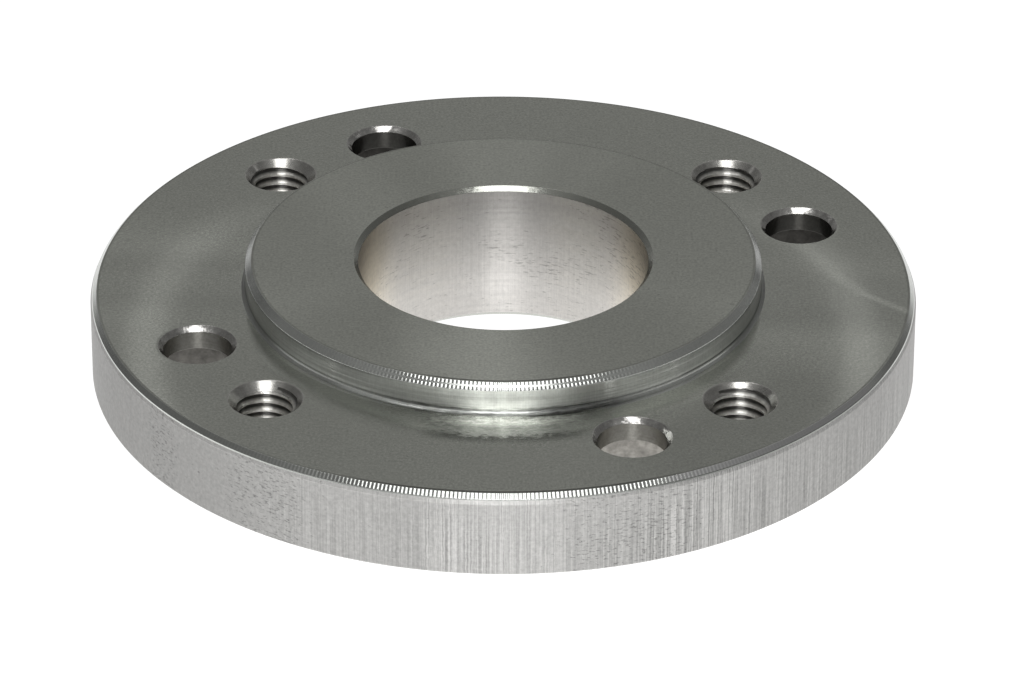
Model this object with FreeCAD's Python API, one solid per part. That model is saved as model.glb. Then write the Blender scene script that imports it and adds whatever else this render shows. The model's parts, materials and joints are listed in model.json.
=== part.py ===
import FreeCAD, Part
import math
import os

V = FreeCAD.Vector

# Round plate flange, turned and drilled from one piece of metal.
# Millimetres, +Z up. The origin is on the axis, in the plane of the lower
# spigot's end face, which is the face that the flange stands on.

# plate
PLATE_D = 104.0          # outer diameter
PLATE_T = 11.0           # thickness of the plate
PLATE_TOP_CH = 0.8       # 45 degree chamfer, upper outer edge
PLATE_BOT_CH = 0.25      # small edge break, lower outer edge

# raised hub on the upper face
HUB_D = 65.0
HUB_H = 4.0
HUB_CH = 0.8             # chamfer on its upper outer edge
HUB_ROOT_R = 0.5         # tool nose radius where it meets the plate

# locating spigot on the lower face
SPIGOT_D = 65.0
SPIGOT_H = 4.0
SPIGOT_CH = 0.8
SPIGOT_ROOT_R = 0.5

# centre bore, through hub, plate and spigot
BORE_D = 36.5
BORE_CH = 0.6            # chamfer at both ends

# eight holes on one pitch circle
PCD = 82.0
TAPPED_ANGLES = (45.0, 135.0, 225.0, 315.0)
PLAIN_ANGLES = (22.5, 112.5, 202.5, 292.5)

# tapped holes, M8 x 1.25, right through the plate: drawn at the minor
# diameter, the fine thread itself is not part of this solid
THREAD_MINOR_D = 6.647
TAP_SINK_D = 9.2         # 90 degree countersink, both faces

# clearance holes for M8 socket head screws put in from below
CLEAR_D = 8.5
CLEAR_CH = 0.65          # chamfer at the upper face
LIP_T = 3.0              # metal left above the counterbore
CBORE_D = 14.0
CBORE_CH = 0.3           # edge break at the counterbore's mouth

Z_SPIGOT = 0.0
Z_UNDER = SPIGOT_H
Z_TOP = SPIGOT_H + PLATE_T
Z_HUB = Z_TOP + HUB_H


def line(a, b):
    return Part.LineSegment(V(a[0], 0, a[1]), V(b[0], 0, b[1])).toShape()


def root_arc(r, x, z, up):
    # concave quarter of radius r in the corner (x, z); the turned wall is at x,
    # the flat face at z, and the metal is inside x and away from the arc
    s = 1.0 if up else -1.0
    c = V(x + r, 0, z + s * r)
    m = V(c.x - r * math.cos(math.pi / 4), 0, c.z - s * r * math.sin(math.pi / 4))
    wall = V(x, 0, z + s * r)
    flat = V(x + r, 0, z)
    return wall, m, flat


def turned_body():
    ro, rh, rs, rb = PLATE_D / 2, HUB_D / 2, SPIGOT_D / 2, BORE_D / 2
    hw, hm, hf = root_arc(HUB_ROOT_R, rh, Z_TOP, True)
    sw, sm, sf = root_arc(SPIGOT_ROOT_R, rs, Z_UNDER, False)
    edges = []
    pts = [
        (rb, BORE_CH),
        (rb, Z_HUB - BORE_CH),
        (rb + BORE_CH, Z_HUB),
        (rh - HUB_CH, Z_HUB),
        (rh, Z_HUB - HUB_CH),
        (hw.x, hw.z),
    ]
    for a, b in zip(pts[:-1], pts[1:]):
        edges.append(line(a, b))
    edges.append(Part.Arc(hw, hm, hf).toShape())
    pts = [
        (hf.x, hf.z),
        (ro - PLATE_TOP_CH, Z_TOP),
        (ro, Z_TOP - PLATE_TOP_CH),
        (ro, Z_UNDER + PLATE_BOT_CH),
        (ro - PLATE_BOT_CH, Z_UNDER),
        (sf.x, sf.z),
    ]
    for a, b in zip(pts[:-1], pts[1:]):
        edges.append(line(a, b))
    edges.append(Part.Arc(sf, sm, sw).toShape())
    pts = [
        (sw.x, sw.z),
        (rs, SPIGOT_CH),
        (rs - SPIGOT_CH, 0.0),
        (rb + BORE_CH, 0.0),
        (rb, BORE_CH),
    ]
    for a, b in zip(pts[:-1], pts[1:]):
        edges.append(line(a, b))
    wire = Part.Wire(Part.__sortEdges__(edges))
    face = Part.Face(wire)
    return face.revolve(V(0, 0, 0), V(0, 0, 1), 360)


def revolved_cutter(profile):
    # closed (r, z) profile that starts and ends on the axis
    edges = [line(a, b) for a, b in zip(profile, profile[1:] + profile[:1])]
    return Part.Face(Part.Wire(edges)).revolve(V(0, 0, 0), V(0, 0, 1), 360)


def tapped_cutter():
    r, k, e = THREAD_MINOR_D / 2, TAP_SINK_D / 2, 1.0
    d = k - r
    return revolved_cutter([
        (0, Z_UNDER - e), (k + e, Z_UNDER - e), (r, Z_UNDER + d),
        (r, Z_TOP - d), (k + e, Z_TOP + e), (0, Z_TOP + e),
    ])


def clearance_cutter():
    r, c, b, m, e = CLEAR_D / 2, CLEAR_CH, CBORE_D / 2, CBORE_CH, 1.0
    seat = Z_TOP - LIP_T
    return revolved_cutter([
        (0, Z_UNDER - e), (b + m + e, Z_UNDER - e), (b, Z_UNDER + m),
        (b, seat), (r, seat), (r, Z_TOP - c), (r + c + e, Z_TOP + e), (0, Z_TOP + e),
    ])


def placed(cutter, angle):
    a = math.radians(angle)
    s = cutter.copy()
    s.translate(V(PCD / 2 * math.cos(a), PCD / 2 * math.sin(a), 0))
    return s


body = turned_body()
tools = [placed(tapped_cutter(), a) for a in TAPPED_ANGLES]
tools += [placed(clearance_cutter(), a) for a in PLAIN_ANGLES]
body = body.cut(Part.makeCompound(tools))
if body.ShapeType == "Compound" and len(body.Solids) == 1:
    body = body.Solids[0]

os.makedirs("parts", exist_ok=True)
body.exportStep("parts/flange.step")

box = body.BoundBox
print("solids", len(body.Solids), "valid", body.isValid(), "volume mm3", round(body.Volume, 1))
print("box", [round(v, 3) for v in (box.XMin, box.YMin, box.ZMin, box.XMax, box.YMax, box.ZMax)])
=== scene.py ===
import json
import math
import bmesh
import bpy
import numpy as np
from mathutils import Matrix, Vector
from mathutils.geometry import delaunay_2d_cdt

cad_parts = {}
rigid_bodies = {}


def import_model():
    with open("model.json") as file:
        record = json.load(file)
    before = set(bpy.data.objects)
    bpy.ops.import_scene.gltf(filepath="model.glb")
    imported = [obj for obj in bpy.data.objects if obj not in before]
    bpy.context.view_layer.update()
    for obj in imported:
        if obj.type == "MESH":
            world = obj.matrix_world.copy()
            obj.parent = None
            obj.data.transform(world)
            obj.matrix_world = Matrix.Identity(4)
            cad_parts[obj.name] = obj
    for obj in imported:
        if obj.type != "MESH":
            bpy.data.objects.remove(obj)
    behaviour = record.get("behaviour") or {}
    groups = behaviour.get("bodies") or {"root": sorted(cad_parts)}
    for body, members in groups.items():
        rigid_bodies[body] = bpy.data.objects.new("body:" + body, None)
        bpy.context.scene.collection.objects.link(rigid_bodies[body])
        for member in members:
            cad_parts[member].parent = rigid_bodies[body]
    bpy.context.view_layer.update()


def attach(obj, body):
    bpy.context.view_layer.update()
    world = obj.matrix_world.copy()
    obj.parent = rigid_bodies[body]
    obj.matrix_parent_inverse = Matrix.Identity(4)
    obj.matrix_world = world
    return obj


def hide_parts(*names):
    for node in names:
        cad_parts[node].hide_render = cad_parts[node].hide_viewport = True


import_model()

# ---------------------------------------------------------------- dimensions
# millimetres, +Z up, z = 0 is the lower spigot's end face
MM = 0.001
RO, RH, RS, RB = 52.0, 32.5, 32.5, 18.25
Z_UNDER, Z_TOP, Z_HUB = 4.0, 15.0, 19.0
CH_TOP, CH_BOT, CH_HUB, CH_BORE, ROOT = 0.8, 0.25, 0.8, 0.6, 0.5
PCR = 41.0
TAPPED = (45.0, 135.0, 225.0, 315.0)
PLAIN = (22.5, 112.5, 202.5, 292.5)
PITCH, R_MINOR, R_MAJOR, R_SINK = 1.25, 3.3235, 4.0, 4.6
R_CLEAR, C_CLEAR, Z_SEAT, R_CBORE, C_CBORE = 4.25, 0.65, 12.0, 7.0, 0.3

N_RING, N_TAP, N_PLAIN = 384, 72, 96

MATS = ["face", "rim_chamfer", "rim_wall", "hub_wall", "hub_chamfer", "hub_face",
        "bore_chamfer", "bore_wall", "thread", "hole_chamfer", "hole_wall",
        "under_face", "spigot_wall", "pocket", "sink"]
MI = {n: i for i, n in enumerate(MATS)}

# ---------------------------------------------------------------- mesh maker
verts, faces, face_mat, face_uv = [], [], [], []
index = {}


def vid(p):
    key = (round(p[0] * 1e4), round(p[1] * 1e4), round(p[2] * 1e4))
    if key not in index:
        index[key] = len(verts)
        verts.append((p[0] * MM, p[1] * MM, p[2] * MM))
    return index[key]


def add_face(ids, mat, uv):
    keep, keep_uv = [], []
    for i, t in zip(ids, uv):
        if i not in keep:
            keep.append(i)
            keep_uv.append(t)
    if len(keep) > 2:
        faces.append(keep)
        face_mat.append(MI[mat])
        face_uv.append(keep_uv)


def ring(r, z, n, centre=(0.0, 0.0)):
    return [(centre[0] + r * math.cos(2 * math.pi * k / n),
             centre[1] + r * math.sin(2 * math.pi * k / n), z) for k in range(n)]


def lathe(profile, mats, n, centre=(0.0, 0.0)):
    rows = [[vid(p) for p in ring(r, z, n, centre)] for r, z in profile]
    length = 0.0
    for i, mat in enumerate(mats):
        (r0, z0), (r1, z1) = profile[i], profile[i + 1]
        step = math.hypot(r1 - r0, z1 - z0)
        for k in range(n):
            m = (k + 1) % n
            u0, u1 = k / n, (k + 1) / n
            add_face([rows[i][k], rows[i][m], rows[i + 1][m], rows[i + 1][k]], mat,
                     [(u0, length * 0.05), (u1, length * 0.05),
                      (u1, (length + step) * 0.05), (u0, (length + step) * 0.05)])
        length += step


def rounded(points, mats, steps=3, guard=0.12):
    """points are (r, z, edge radius); mats has one name for each straight part."""
    out, names = [], []

    def put(p, name):
        if out and math.hypot(out[-1][0] - p[0], out[-1][1] - p[1]) < 1e-6:
            return
        if out:
            names.append(name)
        out.append(p)

    ends = []
    for i, (r, z, e) in enumerate(points):
        if i in (0, len(points) - 1) or e <= 0:
            ends.append([(r, z)])
            continue
        a = Vector((points[i - 1][0] - r, points[i - 1][1] - z)).normalized()
        b = Vector((points[i + 1][0] - r, points[i + 1][1] - z)).normalized()
        phi = a.angle(b)
        t = e / math.tan(phi / 2)
        c = Vector((r, z)) + (a + b).normalized() * (e / math.sin(phi / 2))
        s0 = Vector((r, z)) + a * t - c
        s1 = Vector((r, z)) + b * t - c
        arc = []
        for k in range(steps + 1):
            w = k / steps
            ang = s0.angle(s1)
            d = (s0 * math.sin((1 - w) * ang) + s1 * math.sin(w * ang)) / math.sin(ang)
            arc.append((c.x + d.x, c.y + d.y))
        ends.append(arc)
    put(ends[0][0], None)
    for i, mat in enumerate(mats):
        p, q = ends[i][-1], ends[i + 1][0]
        d = math.hypot(q[0] - p[0], q[1] - p[1])
        if d > 4 * guard:
            ux, uz = (q[0] - p[0]) / d, (q[1] - p[1]) / d
            if len(ends[i]) > 1:
                put((p[0] + ux * guard, p[1] + uz * guard), mat)
            if len(ends[i + 1]) > 1:
                put((q[0] - ux * guard, q[1] - uz * guard), mat)
        put(q, mat)
        arc = ends[i + 1]
        for k in range(1, len(arc)):
            nxt = mats[i + 1] if i + 1 < len(mats) and 2 * k > len(arc) - 1 else mat
            put(arc[k], nxt)
    return out, names


def flat_region(z, outer, inner, holes, mat):
    """flat face between two rings, without the round holes: (centre, radius, count)."""
    loops = [((0.0, 0.0), outer, N_RING), ((0.0, 0.0), inner, N_RING)] + holes
    pts, edges, loop_of = [], [], []
    for k_loop, (centre, r, n) in enumerate(loops):
        first = len(pts)
        pts += ring(r, z, n, centre)
        loop_of += [k_loop] * n
        edges += [(first + k, first + (k + 1) % n) for k in range(n)]
    flat = [Vector((p[0], p[1])) for p in pts]
    got, _, tris, src, _, _ = delaunay_2d_cdt(flat, edges, [], 0, 1e-6)
    for t in tris:
        on = {loop_of[src[i][0]] for i in t}
        if len(on) == 1 and 0 not in on:  # all three corners on one hole: inside it
            continue
        ids = [vid(pts[src[i][0]]) for i in t]
        add_face(ids, mat, [(0.0, 0.0)] * len(t))


def centre_of(angle):
    a = math.radians(angle)
    return (PCR * math.cos(a), PCR * math.sin(a))


# outer edge: from the upper face over the rim to the lower face
R_TOP_OUT, R_TOP_IN = RO - CH_TOP - 0.35, RH + ROOT + 0.2
R_BOT_OUT, R_BOT_IN = RO - CH_BOT - 0.35, RS + ROOT + 0.2
prof, names = rounded([
    (R_TOP_OUT, Z_TOP, 0), (RO - CH_TOP, Z_TOP, 0.07), (RO - 0.24, Z_TOP - 0.56, 0.04),
    (RO - 0.175, Z_TOP - 0.72, 0), (RO, Z_TOP - 1.15, 0.10),
    (RO, Z_UNDER + CH_BOT, 0.06), (RO - CH_BOT, Z_UNDER, 0.05), (R_BOT_OUT, Z_UNDER, 0)],
    ["face", "rim_chamfer", "rim_chamfer", "rim_wall", "rim_wall", "rim_wall", "under_face"])
lathe(prof, names, N_RING)

# inner line: hub root, hub wall, hub face, bore, spigot face, spigot wall, root
root_top, root_bot = [], []
for k in range(9):
    a = math.pi / 2 * k / 8
    root_top.append((RH + ROOT - ROOT * math.sin(a), Z_TOP + ROOT - ROOT * math.cos(a)))
    root_bot.append((RS + ROOT - ROOT * math.sin(a), Z_UNDER - ROOT + ROOT * math.cos(a)))
prof, names = rounded([
    (RH, Z_TOP + ROOT, 0), (RH, Z_HUB - CH_HUB, 0.08), (RH - CH_HUB, Z_HUB, 0.06),
    (RB + CH_BORE, Z_HUB, 0.05), (RB, Z_HUB - CH_BORE, 0.06),
    (RB, CH_BORE, 0.06), (RB + CH_BORE, 0.0, 0.05),
    (RS - CH_HUB, 0.0, 0.06), (RS, CH_HUB, 0.08), (RS, Z_UNDER - ROOT, 0)],
    ["hub_wall", "hub_chamfer", "hub_face", "bore_chamfer", "bore_wall",
     "bore_chamfer", "under_face", "spigot_wall", "spigot_wall"])
prof = [(R_TOP_IN, Z_TOP)] + root_top + prof[1:-1] + root_bot[::-1] + [(R_BOT_IN, Z_UNDER)]
names = ["face"] + ["hub_wall"] * 8 + names + ["spigot_wall"] * 8 + ["under_face"]
lathe(prof, names, N_RING)

# upper and lower faces of the plate
RIM_T, RIM_P, RIM_C = R_SINK + 0.3, R_CLEAR + C_CLEAR + 0.3, R_CBORE + C_CBORE + 0.12
flat_region(Z_TOP, R_TOP_OUT, R_TOP_IN,
            [(centre_of(a), RIM_T, N_TAP) for a in TAPPED]
            + [(centre_of(a), RIM_P, N_PLAIN) for a in PLAIN], "face")
flat_region(Z_UNDER, R_BOT_OUT, R_BOT_IN,
            [(centre_of(a), RIM_T, N_TAP) for a in TAPPED]
            + [(centre_of(a), RIM_C, N_PLAIN) for a in PLAIN], "under_face")


def tapped_hole(centre, phase):
    """right-hand M8 x 1.25 thread cut as one helical sheet, opened by a countersink at both ends."""
    half = [0.0, 0.03, 0.22, 0.25, 0.28, 0.36, 0.45, 0.5325, 0.5625, 0.59,
            0.66, 0.6875, 0.72, 0.80, 0.89, 0.97]
    k_rows = len(half)
    soft = 0.09

    def r_thread(u):
        vals = []
        for du in (-soft, -soft / 2, 0.0, soft / 2, soft):
            v = (u + du) % 1.0
            if v < 0.25:
                w = 0.0
            elif v < 0.5625:
                w = (v - 0.25) / 0.3125
            elif v < 0.6875:
                w = 1.0
            else:
                w = 1.0 - (v - 0.6875) / 0.3125
            vals.append(w)
        return R_MINOR + (R_MAJOR - R_MINOR) * sum(vals) / len(vals)

    lead = 0.08
    z_lo, z_hi = Z_UNDER + lead, Z_TOP - lead
    first = math.floor((z_lo - PITCH) / PITCH) - 1
    last = math.ceil(z_hi / PITCH) + 1
    rows = []
    for turn in range(first, last + 1):
        for h in half:
            rows.append((turn + h, r_thread(h)))
    grid, coned = [], []
    for u, r in rows:
        line, cut = [], []
        for m in range(N_TAP + 1):
            th = 2 * math.pi * m / N_TAP
            z = PITCH * (u + m / N_TAP + phase)
            z = min(max(z, z_lo), z_hi)
            cone = R_SINK - min(Z_TOP - z, z - Z_UNDER)
            rr = max(r, cone)
            cut.append(cone >= r)
            line.append(vid((centre[0] + rr * math.cos(th), centre[1] + rr * math.sin(th), z)))
        grid.append(line)
        coned.append(cut)
    for i in range(len(grid) - 1):
        for m in range(N_TAP):
            # the last column meets the first one a full turn higher up
            a, d = grid[i][m], grid[i + 1][m]
            b, c = grid[i][m + 1], grid[i + 1][m + 1]
            v0, v1 = i / k_rows * 0.5, (i + 1) / k_rows * 0.5
            on_cone = coned[i][m] and coned[i + 1][m] and coned[i][m + 1] and coned[i + 1][m + 1]
            add_face([a, b, c, d], "sink" if on_cone else "thread",
                     [(m / N_TAP, v0), ((m + 1) / N_TAP, v0), ((m + 1) / N_TAP, v1), (m / N_TAP, v1)])
    r_l = R_SINK - lead
    for z0, s, mat in ((Z_TOP, -1.0, "face"), (Z_UNDER, 1.0, "under_face")):
        pr = [(r_l, z0 + s * lead), (R_SINK - 0.04, z0 + s * 0.045), (R_SINK + 0.01, z0 + s * 0.018),
              (R_SINK + 0.07, z0), (R_SINK + 0.16, z0), (RIM_T, z0)]
        lathe(pr, ["sink", "sink", "sink", mat, mat], N_TAP, centre)


def plain_hole(centre):
    prof, names = rounded([
        (RIM_P, Z_TOP, 0), (R_CLEAR + C_CLEAR, Z_TOP, 0.10), (R_CLEAR, Z_TOP - C_CLEAR, 0.10),
        (R_CLEAR, Z_SEAT, 0.07), (R_CBORE, Z_SEAT, 0.12), (R_CBORE, Z_UNDER + C_CBORE, 0.05),
        (R_CBORE + C_CBORE, Z_UNDER, 0.04), (RIM_C, Z_UNDER, 0)],
        ["face", "hole_chamfer", "hole_wall", "pocket", "pocket", "pocket", "under_face"], guard=0.08)
    lathe(prof, names, N_PLAIN, centre)


for k, a in enumerate(TAPPED):
    tapped_hole(centre_of(a), (0.35, 0.10, 0.72, 0.55)[k])
for a in PLAIN:
    plain_hole(centre_of(a))

mesh = bpy.data.meshes.new("flange_body")
mesh.from_pydata(verts, [], faces)
mesh.polygons.foreach_set("material_index", face_mat)
mesh.polygons.foreach_set("use_smooth", [True] * len(faces))
layer = mesh.uv_layers.new(name="UVMap")
layer.data.foreach_set("uv", np.array([t for f in face_uv for t in f], np.float32).ravel())
mesh.update()
bm = bmesh.new()
bm.from_mesh(mesh)
bmesh.ops.remove_doubles(bm, verts=bm.verts, dist=2e-7)
bmesh.ops.dissolve_degenerate(bm, dist=1e-8, edges=bm.edges)
bmesh.ops.recalc_face_normals(bm, faces=bm.faces)
bmesh.ops.triangulate(bm, faces=[f for f in bm.faces if len(f.verts) > 4])
open_edges = sum(1 for e in bm.edges if len(e.link_faces) != 2)
tri_count = sum(len(f.verts) - 2 for f in bm.faces)
volume = bm.calc_volume(signed=True)
bm.to_mesh(mesh)
bm.free()
if volume < 0:
    mesh.flip_normals()
mesh.set_sharp_from_angle(angle=math.radians(33))
mesh.update()
print("flange_body: triangles", tri_count, "open edges", open_edges, "volume mm3", round(abs(volume) * 1e9, 1))

body = bpy.data.objects.new("flange_body", mesh)
bpy.context.scene.collection.objects.link(body)


# ---------------------------------------------------------------- materials
class Net:
    def __init__(self, name):
        self.m = bpy.data.materials.new(name)
        self.m.use_nodes = True
        self.t = self.m.node_tree
        self.t.nodes.clear()
        self.out = self.new("ShaderNodeOutputMaterial")
        self.bsdf = self.new("ShaderNodeBsdfPrincipled")
        self.t.links.new(self.bsdf.outputs["BSDF"], self.out.inputs["Surface"])
        self.x = 0
        coord = self.new("ShaderNodeTexCoord")
        self.p = self.vmath("SCALE", coord.outputs["Object"], scale=1000.0)
        sep = self.new("ShaderNodeSeparateXYZ")
        self.t.links.new(self.p, sep.inputs[0])
        self.px, self.py, self.pz = sep.outputs
        self.r = self.math("SQRT", self.math("ADD", self.math("MULTIPLY", self.px, self.px),
                                             self.math("MULTIPLY", self.py, self.py)))
        self.th = self.math("ARCTAN2", self.py, self.px)

    def new(self, kind, **props):
        n = self.t.nodes.new(kind)
        for k, v in props.items():
            setattr(n, k, v)
        return n

    def put(self, socket, v):
        if isinstance(v, bpy.types.NodeSocket):
            self.t.links.new(v, socket)
        else:
            socket.default_value = v

    def math(self, op, a, b=None, c=None, clamp=False):
        n = self.new("ShaderNodeMath", operation=op, use_clamp=clamp)
        self.put(n.inputs[0], a)
        if b is not None:
            self.put(n.inputs[1], b)
        if c is not None:
            self.put(n.inputs[2], c)
        return n.outputs[0]

    def vmath(self, op, a, b=None, scale=None):
        n = self.new("ShaderNodeVectorMath", operation=op)
        self.put(n.inputs[0], a)
        if b is not None:
            self.put(n.inputs[1], b)
        if scale is not None:
            self.put(n.inputs["Scale"], scale)
        return n.outputs["Value"] if op in ("LENGTH", "DISTANCE", "DOT_PRODUCT") else n.outputs["Vector"]

    def vec(self, x, y, z):
        n = self.new("ShaderNodeCombineXYZ")
        for s, v in zip(n.inputs, (x, y, z)):
            self.put(s, v)
        return n.outputs[0]

    def noise(self, v, scale=1.0, detail=2.0, rough=0.5):
        n = self.new("ShaderNodeTexNoise", noise_dimensions="3D")
        self.put(n.inputs["Vector"], v)
        self.put(n.inputs["Scale"], scale)
        self.put(n.inputs["Detail"], detail)
        self.put(n.inputs["Roughness"], rough)
        return n.outputs["Fac"]

    def rng(self, v, a, b, c, d, kind="LINEAR"):
        n = self.new("ShaderNodeMapRange", interpolation_type=kind, clamp=True)
        self.put(n.inputs["Value"], v)
        for s, w in zip(("From Min", "From Max", "To Min", "To Max"), (a, b, c, d)):
            self.put(n.inputs[s], w)
        return n.outputs["Result"]

    def bump(self, height, strength, distance, normal=None):
        n = self.new("ShaderNodeBump")
        self.put(n.inputs["Height"], height)
        self.put(n.inputs["Strength"], strength)
        self.put(n.inputs["Distance"], distance)
        if normal is not None:
            self.put(n.inputs["Normal"], normal)
        return n.outputs["Normal"]

    def tilt(self, parts):
        """surface normal leant by (vector, amount) pairs."""
        g = self.new("ShaderNodeNewGeometry")
        v = g.outputs["Normal"]
        for w, amount in parts:
            v = self.vmath("ADD", v, self.vmath("SCALE", w, scale=amount))
        return self.vmath("NORMALIZE", v)

    def around(self):
        """unit vectors round the axis and away from it."""
        inv = self.math("DIVIDE", 1.0, self.math("MAXIMUM", self.r, 0.01))
        t = self.vec(self.math("MULTIPLY", self.math("MULTIPLY", self.py, inv), -1.0),
                     self.math("MULTIPLY", self.px, inv), 0.0)
        o = self.vec(self.math("MULTIPLY", self.px, inv), self.math("MULTIPLY", self.py, inv), 0.0)
        return t, o

    def stroke(self, x0, y0, x1, y1, width, gain):
        """gain on a thin line between two points of the face, 1 elsewhere."""
        ax, ay = x1 - x0, y1 - y0
        k = 1.0 / (ax * ax + ay * ay)
        dx, dy = self.math("SUBTRACT", self.px, x0), self.math("SUBTRACT", self.py, y0)
        w = self.math("ADD", self.math("MULTIPLY", dx, ax * k), self.math("MULTIPLY", dy, ay * k), clamp=True)
        ex = self.math("SUBTRACT", dx, self.math("MULTIPLY", w, ax))
        ey = self.math("SUBTRACT", dy, self.math("MULTIPLY", w, ay))
        d = self.math("SQRT", self.math("ADD", self.math("MULTIPLY", ex, ex), self.math("MULTIPLY", ey, ey)))
        return self.rng(d, width * 0.15, width, gain, 1.0, "SMOOTHSTEP")

    def hump(self, v, centre, half, soft):
        """1 where v is within half of centre, falling to 0 over soft."""
        d = self.math("ABSOLUTE", self.math("SUBTRACT", v, centre))
        return self.rng(d, half, half + soft, 1.0, 0.0, "SMOOTHSTEP")

    def fade(self, f, mask, gain):
        """f times gain where mask is 1, unchanged where it is 0."""
        return self.math("MULTIPLY", f, self.rng(mask, 0.0, 1.0, 1.0, gain))

    def tint(self, factor, rgb):
        """rgb times a factor that varies over the surface."""
        return self.vmath("SCALE", rgb, scale=factor)

    def finish(self, colour, rough, aniso=0.0, tangent=None, rotation=0.0, normal=None):
        b = self.bsdf
        self.put(b.inputs["Base Color"], colour)
        b.inputs["Metallic"].default_value = 1.0
        self.put(b.inputs["Roughness"], rough)
        b.inputs["Anisotropic"].default_value = aniso
        b.inputs["Anisotropic Rotation"].default_value = rotation
        if tangent == "radial":
            n = self.new("ShaderNodeTangent", direction_type="RADIAL", axis="Z")
            self.put(b.inputs["Tangent"], n.outputs[0])
        elif tangent == "uv":
            n = self.new("ShaderNodeTangent", direction_type="UV_MAP", uv_map="UVMap")
            self.put(b.inputs["Tangent"], n.outputs[0])
        if normal is not None:
            self.put(b.inputs["Normal"], normal)
        return self.m


STEEL = (0.578, 0.590, 0.541)
WALL = (0.566, 0.560, 0.548)
HUB = (0.574, 0.588, 0.566)


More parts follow.
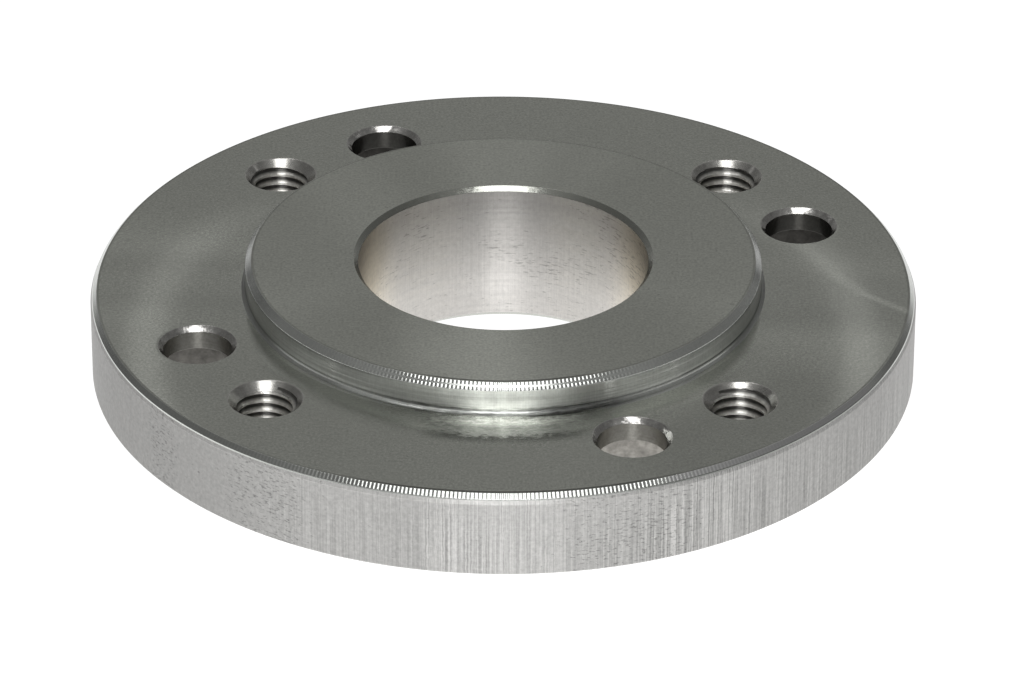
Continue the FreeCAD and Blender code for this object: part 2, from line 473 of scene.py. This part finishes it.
def face_material(name, rough, seed, turned=0.0, highlight_streaks=(), edge=None, aniso=0.99):
    """faced surface: concentric feed, fine matt grain, painted highlight streaks and painted shade."""
    n = Net(name)
    polar = n.vec(n.math("MULTIPLY", n.r, 6.0), n.math("MULTIPLY", n.th, 9.0), seed)
    rings = n.noise(polar, 1.0, 3.0, 0.6)
    coarse = n.noise(n.vmath("ADD", n.p, (seed, 0.0, 0.0)), 1.3, 3.0, 0.7)
    fine = n.noise(n.vmath("ADD", n.p, (0.0, 0.0, seed)), 3.0, 1.0, 0.6)
    cloud = n.noise(n.vmath("ADD", n.p, (0.0, seed, 0.0)), 0.07, 2.0, 0.5)
    f = n.math("ADD", n.rng(rings, 0.25, 0.75, -0.035, 0.035), n.rng(fine, 0.25, 0.75, 0.84, 1.16))
    f = n.math("ADD", f, n.rng(coarse, 0.25, 0.75, -0.06, 0.06))
    f = n.math("ADD", f, n.rng(cloud, 0.2, 0.8, -0.015, 0.015))
    pits = n.noise(n.vmath("ADD", n.p, (7.0, seed, 3.0)), 1.7, 1.0, 0.5)
    f = n.math("MULTIPLY", f, n.rng(pits, 0.20, 0.27, 0.80, 1.0))
    # painted highlights: bright streaks where lamps reflect in the faced surface
    light = 1.0
    for (x0, y0), (x1, y1), width, gain in highlight_streaks:
        light = n.math("MAXIMUM", n.stroke(x0, y0, x1, y1, width, gain), light)
    if highlight_streaks:
        f = n.math("MULTIPLY", f, light)
    if name == "face":
        # painted shade in front of the hub, dimming the plate's reflection of the hub wall
        front_reflection_shade = n.math("MULTIPLY", n.hump(n.r, 37.0, 0.8, 2.2), n.hump(n.math("ABSOLUTE", n.px), 4.0, 2.4, 5.0))
        f = n.fade(f, n.math("MULTIPLY", front_reflection_shade, n.rng(n.py, -20.0, -25.0, 0.0, 1.0)), 0.36)
        # random mottle over that painted shade, broken along the turning grooves
        patch = n.math("MULTIPLY", n.hump(n.r, 35.8, 2.4, 1.4), n.hump(n.px, 0.0, 8.0, 4.0))
        patch = n.math("MULTIPLY", patch, n.rng(n.py, -20.0, -25.0, 0.0, 1.0))
        blot = n.noise(n.vec(n.math("MULTIPLY", n.th, 34.0), n.math("MULTIPLY", n.r, 2.3), seed + 4.0), 1.0, 2.0, 0.6)
        mottle = n.math("MULTIPLY", patch, n.rng(blot, 0.3, 0.7, -1.0, 1.0))
        f = n.math("MULTIPLY", f, n.math("ADD", 1.0, n.math("MULTIPLY", mottle, 0.26)))
        # painted shade in the root corner right of the front, then a painted highlight along the root at the front
        root_corner_shade = n.math("MULTIPLY", n.hump(n.r, 33.25, 0.16, 0.14), n.hump(n.px, 6.2, 2.6, 1.6))
        f = n.fade(f, n.math("MULTIPLY", root_corner_shade, n.rng(n.py, -20.0, -25.0, 0.0, 1.0)), 0.30)
        f = n.fade(f, n.math("MULTIPLY", n.hump(n.r, 33.25, 0.25, 0.20), n.rng(n.py, -16.0, -22.0, 0.0, 1.0)), 1.45)
        # painted shade where the facing grooves run towards and away from the front, dimming the reflection band at
        # left and right
        v = n.math("ADD", n.math("ADD", n.py, n.math("MULTIPLY", n.px, 0.05)), 2.0)
        f = n.fade(f, n.hump(v, 0.0, 3.5, 7.0), 0.80)
        # painted light beside the hub at the front, lifting the shade at its foot, more at the front right; a little
        # darker further out at the front right
        near = n.math("MULTIPLY", n.hump(n.r, 34.2, 1.2, 1.0), n.hump(n.math("ABSOLUTE", n.px), 21.0, 7.0, 4.0))
        f = n.fade(f, n.math("MULTIPLY", near, n.rng(n.py, -14.0, -20.0, 0.0, 1.0)), 1.20)
        f = n.fade(f, n.math("MULTIPLY", n.hump(n.r, 34.8, 1.8, 1.5), n.hump(n.th, -0.99, 0.15, 0.10)), 1.25)
        f = n.fade(f, n.math("MULTIPLY", n.hump(n.th, -0.86, 0.22, 0.25), n.rng(n.r, 38.0, 42.0, 0.0, 1.0)), 0.88)
        # painted shade: a dark line along the front of the outer edge
        front_edge_shade = n.math("MULTIPLY", n.hump(n.r, 50.93, 0.09, 0.12), n.hump(n.px, 1.0, 14.0, 8.0))
        f = n.fade(f, n.math("MULTIPLY", front_edge_shade, n.rng(n.py, -38.0, -43.0, 0.0, 1.0)), 0.42)
    elif name == "hub_face":
        # painted shade: a dark line along the front of the hub's edge
        front_edge_shade = n.math("MULTIPLY", n.hump(n.r, 31.44, 0.09, 0.12), n.hump(n.px, 0.0, 7.0, 5.0))
        f = n.fade(f, n.math("MULTIPLY", front_edge_shade, n.rng(n.py, -20.0, -25.0, 0.0, 1.0)), 0.42)
        # painted shade dimming the reflection streak at the back of the hub face
        f = n.fade(f, n.hump(n.th, 1.42, 0.14, 0.22), 0.88)
    if edge:
        f = n.fade(f, n.hump(n.r, edge - 0.15, 0.06, 0.12), 0.76)
    t, o = n.around()
    lean = n.rng(rings, 0.25, 0.75, -0.005, 0.005)
    if name == "face":
        lean = n.math("ADD", lean, n.math("MULTIPLY", mottle, 0.035))
    nrm = n.tilt([(o, lean), (t, n.rng(fine, 0.25, 0.75, -0.02, 0.02))])
    return n.finish(n.tint(f, STEEL), rough, aniso=aniso, tangent="radial",
                    rotation=0.25 * turned, normal=nrm)


def wall_material(name, radius, rough, chatter, feed, seed, aniso=0.85, height_shade=None,
                  flecks=0.0, colour=STEEL, feed_per_mm=3.0, line_per_mm=6.2, lean=0.02, kind=None):
    """turned wall: upright chatter lines, level feed lines, short dark flecks."""
    n = Net(name)
    t, o = n.around()
    arc = n.math("MULTIPLY", n.th, radius)
    jog = n.noise(n.vec(n.math("MULTIPLY", arc, 0.5), n.math("MULTIPLY", n.pz, 1.1), seed + 2.0), 1.0, 1.0, 0.5)
    lines = n.noise(n.vec(n.math("ADD", n.math("MULTIPLY", arc, line_per_mm), n.math("MULTIPLY", jog, 1.2)),
                          n.math("MULTIPLY", n.pz, 0.07), seed), 1.0, 0.0, 0.5)
    where = n.noise(n.vec(n.math("MULTIPLY", arc, 0.09), n.math("MULTIPLY", n.pz, 0.03), seed + 3.0), 1.0, 1.0, 0.5)
    feeds = n.noise(n.vec(n.math("MULTIPLY", arc, 0.03), n.math("MULTIPLY", n.pz, feed_per_mm), seed + 7.0), 1.0, 3.0, 0.7)
    grain = n.noise(n.vmath("ADD", n.p, (seed, 0.0, 0.0)), 2.0, 3.0, 0.7)
    amount = n.rng(where, 0.35, 0.62, 0.75, 1.20)
    spread = 0.10
    if kind == "rim":
        # lines everywhere but over the quarter where the flecks are
        amount = n.math("MULTIPLY", amount, n.rng(n.th, -2.20, -2.0, 0.10, 1.0))
        amount = n.math("MULTIPLY", amount, n.rng(n.th, 2.2, 3.1, 1.0, 0.10))
        amount = n.fade(amount, n.hump(n.th, -1.05, 0.14, 0.12), 1.7)
        amount = n.fade(amount, n.hump(n.th, -2.00, 0.10, 0.15), 0.65)
        spread = 0.16
    line = n.math("MULTIPLY", n.rng(lines, 0.25, 0.75, -chatter, chatter), amount)
    f = n.math("ADD", line, n.rng(grain, 0.25, 0.75, 1.0 - spread, 1.0 + spread))
    f = n.math("ADD", f, n.rng(feeds, 0.25, 0.75, -feed, feed))
    if flecks:
        long = 0.75 if kind == "bore" else 1.4
        spot = n.noise(n.vec(n.math("ADD", n.math("MULTIPLY", arc, long), n.math("MULTIPLY", n.pz, 0.8)),
                             n.math("MULTIPLY", n.pz, 3.8), seed + 11.0), 1.0, 2.0, 0.6)
        patch = n.noise(n.vec(n.math("MULTIPLY", arc, 0.11), n.math("MULTIPLY", n.pz, 0.16), seed + 5.0), 1.0, 2.0, 0.5)
        if kind == "rim":
            patch = n.math("ADD", n.math("MULTIPLY", patch, 0.35), n.math("MULTIPLY", n.hump(n.th, -2.16, 0.05, 0.12), 0.34))
            patch = n.math("ADD", patch, n.math("MULTIPLY", n.hump(n.th, -2.50, 0.02, 0.08), 0.30))
            patch = n.math("ADD", patch, n.math("MULTIPLY", n.hump(n.th, -1.26, 0.10, 0.16), 0.30))
            patch = n.math("ADD", patch, 0.08)
        elif kind == "bore":
            patch = n.math("ADD", n.math("SUBTRACT", patch, 0.10), n.rng(n.px, 8.0, 14.0, 0.0, 0.20))
        level = n.math("SUBTRACT", spot, n.rng(patch, 0.25, 0.60, 0.16, 0.0))
        f = n.math("MULTIPLY", f, n.rng(level, 0.53, 0.63, 1.0, 1.0 - flecks, "SMOOTHSTEP"))
    # painted shade by height: colour scaled over the given height range
    if height_shade:
        f = n.math("MULTIPLY", f, n.rng(n.pz, *height_shade))
    if kind == "rim":
        # painted shade dimming the front highlight
        f = n.fade(f, n.hump(n.th, -1.60, 0.06, 0.32), 0.83)
        f = n.fade(f, n.hump(n.th, -1.58, 0.03, 0.10), 0.92)
        # painted highlight along the band under the chamfer, with painted shade on it at the right
        f = n.fade(f, n.math("MULTIPLY", n.hump(n.pz, 14.15, 0.33, 0.10), n.rng(n.px, 10.0, 24.0, 1.0, 0.0)), 1.20)
        f = n.fade(f, n.math("MULTIPLY", n.hump(n.pz, 14.38, 0.10, 0.08), n.rng(n.px, 14.0, 26.0, 0.0, 1.0)), 0.80)
        # painted highlight along the lower edge of the chamfer at the front left
        edge_highlight = n.math("MULTIPLY", n.hump(n.pz, 14.48, 0.07, 0.08), n.hump(n.th, -2.18, 0.42, 0.15))
        f = n.fade(f, edge_highlight, 1.30)
        # painted shade at the front right and at the left
        f = n.fade(f, n.hump(n.th, -0.70, 0.15, 0.20), 0.93)
        f = n.fade(f, n.hump(n.th, -2.62, 0.25, 0.30), 0.87)
    if kind == "bore":
        # painted light: the bore's sides lighter
        side = n.rng(n.math("ABSOLUTE", n.px), 12.5, 17.5, 0.0, 1.0, "SMOOTHSTEP")
        f = n.fade(f, side, 1.43)
    if kind == "hub":
        # painted shade on the lower wall either side of the front highlight
        off = n.rng(n.math("ABSOLUTE", n.px), 2.0, 7.0, 0.0, 1.0, "SMOOTHSTEP")
        near = n.rng(n.math("ABSOLUTE", n.px), 12.0, 20.0, 1.0, 0.0, "SMOOTHSTEP")
        low = n.rng(n.pz, 18.0, 15.5, 0.0, 1.0)
        root = n.hump(n.pz, 15.12, 0.10, 0.12)
        root_highlight = n.math("MULTIPLY", root, n.hump(n.th, -1.98, 0.18, 0.12))
        low = n.math("MULTIPLY", low, n.math("SUBTRACT", 1.0, root_highlight))
        f = n.fade(f, n.math("MULTIPLY", n.math("MULTIPLY", off, near), low), 0.48)
        # painted highlight on the upper wall either side of the front
        f = n.fade(f, n.math("MULTIPLY", n.hump(n.math("ABSOLUTE", n.px), 4.8, 1.6, 2.2), n.rng(n.pz, 15.8, 16.6, 0.0, 1.0)), 1.28)
        # painted shade lines low on the wall, one right of the front and one all round, in the crease above the root
        line = n.math("MULTIPLY", n.hump(n.pz, 15.62, 0.05, 0.10), n.hump(n.th, -0.62, 0.17, 0.06))
        f = n.fade(f, line, 0.45)
        crease_shade = n.math("MULTIPLY", n.hump(n.pz, 15.46, 0.11, 0.10), n.rng(n.math("ABSOLUTE", n.px), 12.0, 20.0, 1.0, 0.80))
        f = n.fade(f, crease_shade, 0.55)
        # painted shade at both sides and painted light right of the front
        f = n.fade(f, n.hump(n.py, -4.0, 7.0, 8.0), 0.80)
        f = n.fade(f, n.hump(n.th, -0.72, 0.43, 0.12), 1.17)
        f = n.fade(f, n.hump(n.th, -0.99, 0.13, 0.10), 1.06)
        # painted shade under the chamfer beside the front and on the root fillet at the sides; painted highlight on the
        # root fillet at the front left
        rim = n.math("MULTIPLY", n.hump(n.pz, 18.10, 0.15, 0.12), n.rng(n.math("ABSOLUTE", n.px), 9.0, 16.0, 0.0, 1.0))
        f = n.fade(f, rim, 0.72)
        f = n.fade(f, n.math("MULTIPLY", root, n.hump(n.py, -8.0, 7.0, 6.0)), 0.70)
        f = n.fade(f, root_highlight, 1.50)
        # torn streaks low on the front, and a dull patch right of it
        worn = n.noise(n.vec(n.math("MULTIPLY", arc, 0.5), n.math("MULTIPLY", n.pz, 8.0), seed + 21.0), 1.0, 2.0, 0.6)
        foot = n.math("MULTIPLY", n.hump(n.pz, 15.35, 0.35, 0.25), n.hump(n.px, 1.0, 10.0, 6.0))
        foot = n.math("MULTIPLY", foot, n.rng(n.py, -20.0, -25.0, 0.0, 1.0))
        f = n.fade(f, n.math("MULTIPLY", foot, n.rng(worn, 0.46, 0.60, 0.0, 1.0)), 0.50)
        dull = n.math("MULTIPLY", n.hump(n.px, 11.8, 1.4, 2.0), n.rng(n.py, -20.0, -25.0, 0.0, 1.0))
        f = n.fade(f, dull, 0.78)
        # painted shade at both sides
        f = n.fade(f, n.hump(n.py, 3.0, 5.0, 5.0), 0.80)
    nrm = n.tilt([(t, n.math("MULTIPLY", n.rng(lines, 0.25, 0.75, -lean, lean), amount)),
                  ((0.0, 0.0, 1.0), n.rng(feeds, 0.25, 0.75, -feed, feed))])
    tone = n.tint(f, colour)
    # painted light: the bore's sides warmer in tint
    if kind == "bore":
        tone = n.vmath("MULTIPLY", tone, n.vmath("ADD", (1.0, 1.0, 1.0), n.vmath("SCALE", (0.05, 0.0, -0.12), scale=side)))
    return n.finish(tone, rough, aniso=aniso, tangent="radial", rotation=0.25, normal=nrm)


def chamfer_material(name, count, seed, inner=None, rows=0, rough=0.24, lean=0.17, tone=1.0):
    """chamfer with even tool ticks round it, in one or two rows."""
    n = Net(name)
    t, o = n.around()
    grain = n.noise(n.vmath("ADD", n.p, (seed, 0.0, 0.0)), 2.0, 2.0, 0.6)
    f = n.rng(grain, 0.25, 0.75, 0.95 * tone, 1.05 * tone)
    if not count:
        return n.finish(n.tint(f, STEEL), rough,
                        normal=n.tilt([(t, n.rng(grain, 0.25, 0.75, -0.03, 0.03))]))
    across = n.math("SUBTRACT", n.r, inner)  # 0 at the upper edge to 0.8 at the lower
    s = n.math("SINE", n.math("MULTIPLY", n.th, float(count)))
    if rows == 2:
        off = n.math("ABSOLUTE", n.math("SUBTRACT", across, 0.40))
        mask = n.rng(off, 0.05, 0.13, 0.0, 1.0, "SMOOTHSTEP")
    else:
        mask = n.rng(across, 0.46, 0.58, 1.0, 0.15, "SMOOTHSTEP")
    mask = n.math("MULTIPLY", mask, n.rng(n.math("ABSOLUTE", n.math("ADD", n.th, math.pi / 2)),
                                          0.30, 0.60, 1.0, 0.22, "SMOOTHSTEP"))
    wave = n.math("MULTIPLY", s, mask)
    f = n.math("ADD", f, n.math("MULTIPLY", wave, 0.05))
    if rows == 1:
        front = n.rng(n.py, -18.0, -26.0, 0.0, 1.0)
        right = n.math("MULTIPLY", n.hump(n.px, 33.0, 12.0, 7.0), front)
        # painted light at the right on the ticked facet, with a painted dark line below it, and painted light at the
        # left
        f = n.fade(f, n.math("MULTIPLY", right, n.rng(across, 0.50, 0.56, 1.0, 0.0)), 1.80)
        f = n.fade(f, n.math("MULTIPLY", right, n.hump(across, 0.56, 0.05, 0.03)), 0.60)
        f = n.fade(f, n.math("MULTIPLY", n.hump(n.px, -34.0, 10.0, 6.0), front), 1.20)
    if rows == 2:
        # painted highlight to both sides of the front run of ticks, painted shade beside the front and at both sides
        v = n.math("SUBTRACT", n.py, n.math("MULTIPLY", n.px, 0.1))
        side = n.math("MULTIPLY", n.rng(n.math("ABSOLUTE", n.px), 9.0, 18.0, 0.0, 1.0), n.rng(v, -14.0, -8.0, 1.0, 0.0))
        f = n.fade(f, side, 1.56)
        f = n.fade(f, n.hump(n.math("ABSOLUTE", n.px), 5.5, 1.0, 2.0), 0.82)
        f = n.fade(f, n.hump(n.py, 0.5, 4.0, 4.0), 0.50)
    return n.finish(n.tint(f, HUB), rough, normal=n.tilt([(t, n.math("MULTIPLY", wave, lean))]))


def hole_material(name, rough, seed, colour=STEEL, aniso=0.6, part="plain"):
    """inside of the small holes; painted shade in the thread roots, painted light and shade on the walls and pockets.
    """
    n = Net(name)
    grain = n.noise(n.vmath("ADD", n.p, (seed, 0.0, 0.0)), 2.2, 3.0, 0.65)
    rings = n.noise(n.vec(0.0, seed, n.math("MULTIPLY", n.pz, 4.0)), 1.0, 2.0, 0.7)
    f = n.math("ADD", n.rng(grain, 0.25, 0.75, 0.82, 1.18), n.rng(rings, 0.25, 0.75, -0.10, 0.10))
    lean = [((0.0, 0.0, 1.0), n.rng(rings, 0.25, 0.75, -0.05, 0.05))]
    if part == "thread":
        # distance from the hole's own axis, the four holes folded onto one
        c = PCR * math.cos(math.radians(45))
        dx = n.math("SUBTRACT", n.math("ABSOLUTE", n.px), c)
        dy = n.math("SUBTRACT", n.math("ABSOLUTE", n.py), c)
        own = n.math("SQRT", n.math("ADD", n.math("MULTIPLY", dx, dx), n.math("MULTIPLY", dy, dy)))
        # painted shade in the thread roots
        root = n.math("MULTIPLY", n.rng(own, 3.40, 3.80, 0.0, 1.0), n.rng(own, 4.02, 4.12, 1.0, 0.0))
        f = n.math("MULTIPLY", f, n.rng(root, 0.0, 1.0, 1.0, 0.16))
    elif part == "chamfer":
        chips = n.noise(n.vmath("ADD", n.p, (0.0, seed, 0.0)), 0.9, 2.0, 0.6)
        g = n.new("ShaderNodeNewGeometry")
        side = n.vmath("CROSS_PRODUCT", g.outputs["Normal"], (0.0, 0.0, 1.0))
        lean = [(side, n.rng(chips, 0.3, 0.7, -0.18, 0.18)), ((0.0, 0.0, 1.0), n.rng(chips, 0.35, 0.65, -0.06, 0.06))]
    elif part == "wall":
        # painted light and shade: hole walls darker at the back, lighter towards the front
        f = n.math("MULTIPLY", f, n.rng(n.py, 0.0, -14.0, 0.46, 1.35))
    elif part == "pocket":
        blot = n.noise(n.vmath("ADD", n.p, (0.0, seed, 5.0)), 0.7, 2.0, 0.6)
        f = n.math("MULTIPLY", f, n.rng(blot, 0.32, 0.68, 0.74, 1.26))
        # painted light and shade: pockets lighter towards the front, where light comes in under the plate
        f = n.math("MULTIPLY", n.math("MULTIPLY", f, n.rng(n.py, 10.0, -12.0, 0.22, 0.60)),
                   n.rng(n.py, -20.0, -36.0, 1.0, 2.6))
    return n.finish(n.tint(f, colour), rough, aniso=aniso, tangent="uv", rotation=0.25, normal=n.tilt(lean))


# painted highlight streaks: a small lamp's glint across the plate, and reflection streaks on the hub face
PLATE_HIGHLIGHT_STREAKS = [((38.0, 11.0), (42.0, 2.7), 1.9, 1.13), ((42.0, 2.7), (45.3, -2.3), 1.5, 1.18),
               ((45.3, -2.3), (50.9, -7.0), 0.9, 1.30)]
HUB_HIGHLIGHT_STREAKS = [((-5.2, -18.6), (-2.0, -31.6), 9.0, 1.10), ((-10.0, -17.2), (-8.5, -24.0), 6.0, 1.12), ((-15.5, 9.0), (-22.5, 23.0), 10.0, 1.13)]

made = {
    "face": face_material("face", 0.24, 1.0, highlight_streaks=PLATE_HIGHLIGHT_STREAKS, edge=RO - CH_TOP),
    "rim_chamfer": chamfer_material("rim_chamfer", 650, 2.0, RO - CH_TOP, 1, rough=0.20),
    "rim_wall": wall_material("rim_wall", RO, 0.507, 0.17, 0.04, 3.0, 0.907, flecks=0.39,
                              colour=WALL, kind="rim"),
    "hub_wall": wall_material("hub_wall", RH, 0.28, 0.035, 0.15, 4.0, feed_per_mm=2.8, lean=0.02, kind="hub", colour=HUB),
    "hub_chamfer": chamfer_material("hub_chamfer", 400, 5.0, RH - CH_HUB, 2, rough=0.20),
    "hub_face": face_material("hub_face", 0.345, 6.0, turned=1.0, highlight_streaks=HUB_HIGHLIGHT_STREAKS,
                              edge=RH - CH_HUB, aniso=0.833),
    "bore_chamfer": chamfer_material("bore_chamfer", 0, 7.0, rough=0.20, tone=0.84),
    # painted shade: the bore darker towards the top, lighter towards the bottom
    "bore_wall": wall_material("bore_wall", RB, 0.38, 0.035, 0.10, 8.0, 0.9, (17.0, 5.0, 0.60, 1.30),
                               flecks=0.34, colour=(0.560, 0.545, 0.525), feed_per_mm=1.3, lean=0.015, kind="bore"),
    # brighter copy of the steel: painted highlight on the threads
    "thread": hole_material("thread", 0.34, 9.0, (0.92, 0.905, 0.86), 0.97, "thread"),
    "hole_chamfer": hole_material("hole_chamfer", 0.22, 10.0, (0.60, 0.59, 0.57), 0.0, "chamfer"),
    # darker copy of the steel: painted shade inside the holes
    "hole_wall": hole_material("hole_wall", 0.33, 11.0, (0.245, 0.240, 0.222), 0.98, "wall"),
    "under_face": face_material("under_face", 0.30, 12.0),
    # darker copy of the steel: painted shade on the spigot
    "spigot_wall": wall_material("spigot_wall", RS, 0.30, 0.10, 0.06, 13.0, colour=(0.40, 0.402, 0.387)),
    "sink": hole_material("sink", 0.24, 15.0, (0.60, 0.59, 0.562), 0.0, "sink"),
    # darker copy of the steel: painted shade inside the pockets
    "pocket": hole_material("pocket", 0.36, 14.0, (0.25, 0.24, 0.222), 0.3, "pocket"),
}
for name in MATS:
    mesh.materials.append(made[name])

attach(body, "root")
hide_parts("flange")

# ---------------------------------------------------------------- floor, light
fm = bpy.data.meshes.new("floor")
S = 6.0
fm.from_pydata([(-S, -S, 0), (S, -S, 0), (S, S, 0), (-S, S, 0)], [], [(0, 1, 2, 3)])
floor = bpy.data.objects.new("floor", fm)
bpy.context.scene.collection.objects.link(floor)
floor.location.z = -0.00002
mat = bpy.data.materials.new("pale_floor")
mat.use_nodes = True
b = mat.node_tree.nodes["Principled BSDF"]
b.inputs["Base Color"].default_value = (0.25, 0.25, 0.25, 1)
b.inputs["Roughness"].default_value = 0.9
b.inputs["Specular IOR Level"].default_value = 0.0
# the floor glows with its own light, brighter towards the front: painted light
b.inputs["Emission Color"].default_value = (1, 1, 1, 1)
ft = mat.node_tree
fg = ft.nodes.new("ShaderNodeNewGeometry")
fs = ft.nodes.new("ShaderNodeSeparateXYZ")
fr = ft.nodes.new("ShaderNodeMapRange")
fr.interpolation_type = "SMOOTHSTEP"
for key, v in (("From Min", 0.0), ("From Max", -0.09), ("To Min", 0.95), ("To Max", 1.30)):
    fr.inputs[key].default_value = v
ft.links.new(fg.outputs["Position"], fs.inputs[0])
ft.links.new(fs.outputs["Y"], fr.inputs["Value"])
ft.links.new(fr.outputs["Result"], b.inputs["Emission Strength"])
fm.materials.append(mat)

world = bpy.data.worlds.new("studio")
bpy.context.scene.world = world
world.use_nodes = True
wt = world.node_tree
wt.nodes.clear()
wo = wt.nodes.new("ShaderNodeOutputWorld")
bg = wt.nodes.new("ShaderNodeBackground")
tc = wt.nodes.new("ShaderNodeTexCoord")
sp = wt.nodes.new("ShaderNodeSeparateXYZ")
wt.links.new(tc.outputs["Generated"], sp.inputs[0])


def sky_math(op, a, b=None):
    n = wt.nodes.new("ShaderNodeMath")
    n.operation = op
    for s, v in zip(n.inputs, (a, b)):
        if isinstance(v, bpy.types.NodeSocket):
            wt.links.new(v, s)
        elif v is not None:
            s.default_value = v
    return n.outputs[0]


def sky_step(v, a, b, c, d):
    n = wt.nodes.new("ShaderNodeMapRange")
    n.interpolation_type = "SMOOTHSTEP"
    wt.links.new(v, n.inputs["Value"])
    for key, w in zip(("From Min", "From Max", "To Min", "To Max"), (a, b, c, d)):
        n.inputs[key].default_value = w
    return n.outputs["Result"]


sx, sy, sz = sp.outputs
sky = sky_step(sy, 0.2, -0.9, 0.26, 0.30)
sky = sky_math("MULTIPLY", sky, sky_step(sky_math("ABSOLUTE", sx), 0.35, 0.85, 1.0, 0.45))
band = sky_math("MULTIPLY", sky_step(sz, 0.30, 0.08, 0.0, 0.95), sky_step(sy, 0.48, 0.16, 0.0, 1.0))
rim_band = sky_step(sz, 0.05, 0.0, 0.0, 0.5)
wt.links.new(sky_math("ADD", sky, sky_math("MAXIMUM", band, rim_band)), bg.inputs["Strength"])
bg.inputs["Color"].default_value = (1.0, 1.0, 0.985, 1)
wt.links.new(bg.outputs[0], wo.inputs["Surface"])


def aim(obj, direction, distance, target=(0, 0, 0.015)):
    d = Vector(direction).normalized()
    obj.location = Vector(target) + d * distance
    obj.rotation_mode = "QUATERNION"
    obj.rotation_quaternion = d.to_track_quat("Z", "Y")


def polar(az, el):
    a, e = math.radians(az), math.radians(el)
    return (math.cos(a) * math.cos(e), math.sin(a) * math.cos(e), math.sin(e))


def softbox(name, az, el, distance, width, height, radiance, colour=(1, 1, 1)):
    li = bpy.data.lights.new(name, "AREA")
    li.shape = "RECTANGLE"
    li.size, li.size_y = width, height
    li.energy = radiance * width * height * 4.0
    li.color = colour
    o = bpy.data.objects.new(name, li)
    bpy.context.scene.collection.objects.link(o)
    aim(o, polar(az, el), distance)
    return o


softbox("front_top", 270, 61, 1.6, 0.84, 0.36, 2.4)
softbox("front_low", 269.3, 29, 1.6, 0.60, 0.48, 6.2)
softbox("over_left", 164, 77, 1.6, 0.42, 0.42, 1.4)

for k, x in enumerate((-0.0473, 0.0473)):
    li = bpy.data.lights.new(f"back_glint_{k}", "POINT")
    li.energy = 0.00075
    li.shadow_soft_size = 0.003
    o = bpy.data.objects.new(f"back_glint_{k}", li)
    bpy.context.scene.collection.objects.link(o)
    o.location = (x, 0.0582, 0.0717)
    o.visible_camera = False

# ---------------------------------------------------------------- camera
el, dist = 0.50869014, 0.79795
cam_data = bpy.data.cameras.new("camera")
cam = bpy.data.objects.new("camera", cam_data)
bpy.context.scene.collection.objects.link(cam)
cam_data.sensor_fit = "HORIZONTAL"
cam_data.sensor_width = 36.0
cam_data.lens = 6328.124 / 1009 * 36.0
cam_data.clip_start, cam_data.clip_end = 0.05, 50.0
fwd = Vector((0, math.cos(el), -math.sin(el)))
right = Vector((1, 0, 0))
up = right.cross(fwd)


def turn(axis, angle, *vs):
    q = Matrix.Rotation(angle, 3, axis)
    return [q @ v for v in vs]


fwd, right = turn(up, -0.0002203991531482207, fwd, right)
fwd, up = turn(right, -0.008333018258155371, fwd, up)
right, up = turn(fwd, -0.0035523258296573735, right, up)
rot = Matrix((right, up, -fwd)).transposed()
cam.matrix_world = Matrix.Translation(
    Vector((0, -dist * math.cos(el), dist * math.sin(el) + Z_TOP * MM))) @ rot.to_4x4()
bpy.context.scene.camera = cam
bpy.context.scene.view_settings.view_transform = "Standard"

bpy.context.view_layer.update()
